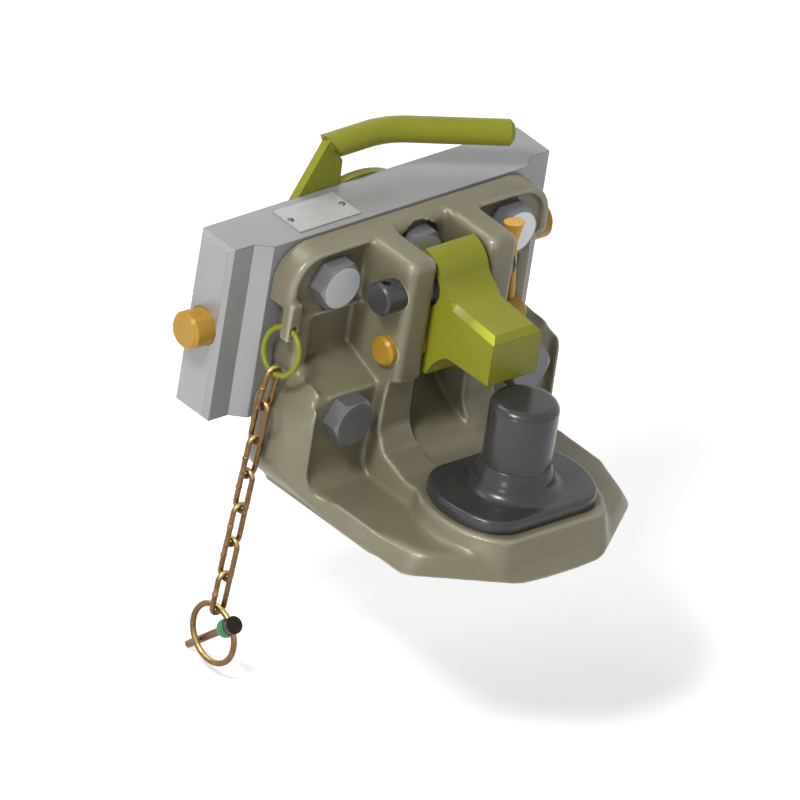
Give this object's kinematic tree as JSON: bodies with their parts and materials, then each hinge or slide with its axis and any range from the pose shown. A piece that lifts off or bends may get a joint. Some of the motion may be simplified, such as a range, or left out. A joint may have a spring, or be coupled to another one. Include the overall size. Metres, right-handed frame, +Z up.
{
  "type": "trailer coupler",
  "caption": "Piton trailer coupler on a slider plate for a ladder hitch: cast body with hold-down keeper, drawn locking pin, release lever and chained linch pin.",
  "frame": {"origin": "middle plane of the casting, on the axis of the slider's two side locking bolts and in the middle of the slider's thickness at its tongues", "axes": "+Z up along the ladder hitch's rails, -Y to the front, towards the trailer, +X to the right seen from the front"},
  "size_m": [0.2968, 0.2453, 0.3408],
  "materials": {
    "casting_paint": "satin",
    "slider_steel": "satin",
    "plate_metal": "satin",
    "rivet_metal": "satin",
    "spring_steel": "satin",
    "zinc_bolt": "satin",
    "dark_steel": "satin",
    "pin_steel": "satin",
    "green_paint": "gloss",
    "orange_paint": "gloss",
    "bronze_zinc": "satin",
    "collar_green": "satin"
  },
  "bodies": {
    "coupler": {"coupling_body": "casting_paint", "slider_block": "slider_steel", "type_plate": "plate_metal", "plate_rivets": "rivet_metal", "bolt_spring_left": "spring_steel", "bolt_spring_right": "spring_steel", "lever_pivot_bolt": "zinc_bolt", "lever_washer": "zinc_bolt", "upper_bolts": "zinc_bolt", "lower_bolts": "zinc_bolt", "piton": "dark_steel", "piton_washer": "zinc_bolt", "piton_nut": "zinc_bolt", "pivot_pin": "pin_steel"},
    "keeper": {"keeper": "green_paint", "keeper_bush": "spring_steel"},
    "locking_pin": {"locking_pin": "orange_paint", "locking_pin_handle": "orange_paint"},
    "release_lever": {"release_lever": "green_paint", "lever_handle": "green_paint"},
    "side_bolt_left": {"locking_bolt_left": "orange_paint", "drive_pin_left": "zinc_bolt"},
    "side_bolt_right": {"locking_bolt_right": "orange_paint", "drive_pin_right": "zinc_bolt"},
    "ring": {"chain_ring": "green_paint"},
    "link_1": {"chain_link_1": "bronze_zinc"},
    "link_2": {"chain_link_2": "bronze_zinc"},
    "link_3": {"chain_link_3": "bronze_zinc"},
    "link_4": {"chain_link_4": "bronze_zinc"},
    "link_5": {"chain_link_5": "bronze_zinc"},
    "link_6": {"chain_link_6": "bronze_zinc"},
    "link_7": {"chain_link_7": "bronze_zinc"},
    "linch_ring": {"linch_ring": "bronze_zinc"},
    "linch_pin": {"linch_pin": "bronze_zinc", "linch_collar": "collar_green"}
  },
  "joints": [
    {"name": "keeper_swing", "type": "hinge", "parent": "coupler", "child": "keeper", "pos_m": [0, -0.0717, 0.0359], "axis": [-1, 0, 0], "range_deg": [0, 75]},
    {"name": "locking_pin_draw", "type": "slide", "parent": "coupler", "child": "locking_pin", "axis": [1, 0, 0], "range_m": [0, 0.072]},
    {"name": "release_lever_turn", "type": "hinge", "parent": "coupler", "child": "release_lever", "pos_m": [-0.004, 0.019, 0], "axis": [0, -1, 0], "range_deg": [0, 29], "stiffness_Nm_per_rad": 6, "springref_deg": -57.3},
    {"name": "side_bolt_left_draw", "type": "slide", "parent": "coupler", "child": "side_bolt_left", "axis": [1, 0, 0], "range_m": [0, 0.0161], "deforming": ["bolt_spring_left"]},
    {"name": "side_bolt_right_draw", "type": "slide", "parent": "coupler", "child": "side_bolt_right", "axis": [-1, 0, 0], "range_m": [0, 0.0161], "deforming": ["bolt_spring_right"]},
    {"name": "ring_swing", "type": "hinge", "parent": "coupler", "child": "ring", "pos_m": [-0.1028, -0.0425, 0.0107], "axis": [0, 1, 0], "range_deg": [0, 45]},
    {"name": "link_1_swing", "type": "hinge", "parent": "ring", "child": "link_1", "pos_m": [-0.11077, -0.0425, -0.01905], "axis": [0, 1, 0], "range_deg": [0, 20]},
    {"name": "link_2_swing", "type": "hinge", "parent": "link_1", "child": "link_2", "pos_m": [-0.1139, -0.04106, -0.04452], "axis": [-0.9925, 0, 0.1219], "range_deg": [-20, 20]},
    {"name": "link_3_swing", "type": "hinge", "parent": "link_2", "child": "link_3", "pos_m": [-0.11435, -0.03963, -0.07018], "axis": [0.001, 0.9984, 0.0558], "range_deg": [0, 20]},
    {"name": "link_4_swing", "type": "hinge", "parent": "link_3", "child": "link_4", "pos_m": [-0.11479, -0.0382, -0.09583], "axis": [-0.9998, 0, 0.0175], "range_deg": [-20, 20]},
    {"name": "link_5_swing", "type": "hinge", "parent": "link_4", "child": "link_5", "pos_m": [-0.11524, -0.03676, -0.12149], "axis": [0.001, 0.9984, 0.0558], "range_deg": [-20, 20]},
    {"name": "link_6_swing", "type": "hinge", "parent": "link_5", "child": "link_6", "pos_m": [-0.11569, -0.03533, -0.14714], "axis": [-0.9998, 0, 0.0175], "range_deg": [-20, 20]},
    {"name": "link_7_swing", "type": "hinge", "parent": "link_6", "child": "link_7", "pos_m": [-0.11614, -0.03389, -0.1728], "axis": [0.001, 0.9984, 0.0558], "range_deg": [-20, 20]},
    {"name": "linch_ring_swing", "type": "hinge", "parent": "link_7", "child": "linch_ring", "pos_m": [-0.11659, -0.03246, -0.19845], "axis": [-0.9998, 0, 0.0175], "range_deg": [-20, 20]},
    {"name": "linch_pin_open", "type": "hinge", "parent": "linch_ring", "child": "linch_pin", "pos_m": [-0.11659, -0.04695, -0.20081], "axis": [0, -0.6691, -0.7431], "range_deg": [0, 90]}
  ],
  "couplings": [
    {"joint": "side_bolt_left_draw", "follows": "release_lever_turn", "m_per_rad": 0.031611},
    {"joint": "side_bolt_right_draw", "follows": "release_lever_turn", "m_per_rad": 0.031611}
  ]
}
